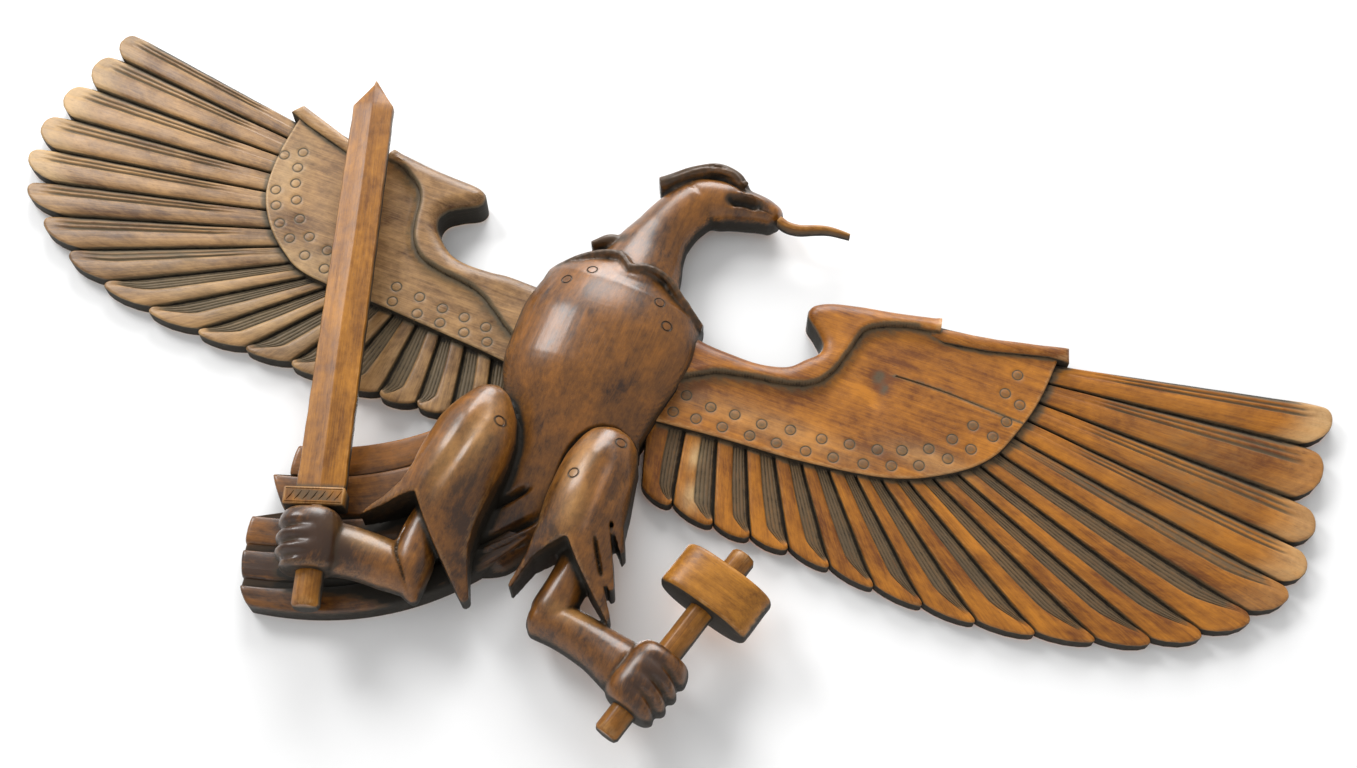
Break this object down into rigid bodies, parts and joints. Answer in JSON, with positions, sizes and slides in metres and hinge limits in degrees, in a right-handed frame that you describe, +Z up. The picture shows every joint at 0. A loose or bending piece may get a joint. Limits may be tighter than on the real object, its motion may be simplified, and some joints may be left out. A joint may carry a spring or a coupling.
{
  "type": "carved wooden wall eagle",
  "caption": "Carved wooden wall eagle with spread feathered wings, head turned to one side, a sword in one claw and a mallet in the other.",
  "frame": {"origin": "on the flat back of the body, at the middle of the breast, where it lies against the wall", "axes": "+Z up to the head as it hangs, +X along the wings to the side that the beak points to, +Y into the wall"},
  "size_m": [1.2228, 0.086, 0.5382],
  "materials": {
    "body": "dark reddish brown stain, waxed, satin gloss",
    "right_wing": "warm brown stain, waxed, dark wax in the grooves",
    "left_wing": "lighter brown stain, waxed, dark wax in the grooves",
    "tools": "honey brown stain, satin",
    "tongue": "brown stain, worn"
  },
  "bodies": {
    "root": {"body": "body", "right_wing": "right_wing", "left_wing": "left_wing", "sword": "tools", "mallet_handle": "tools", "mallet_head": "tools", "tongue": "tongue"}
  },
  "joints": []
}
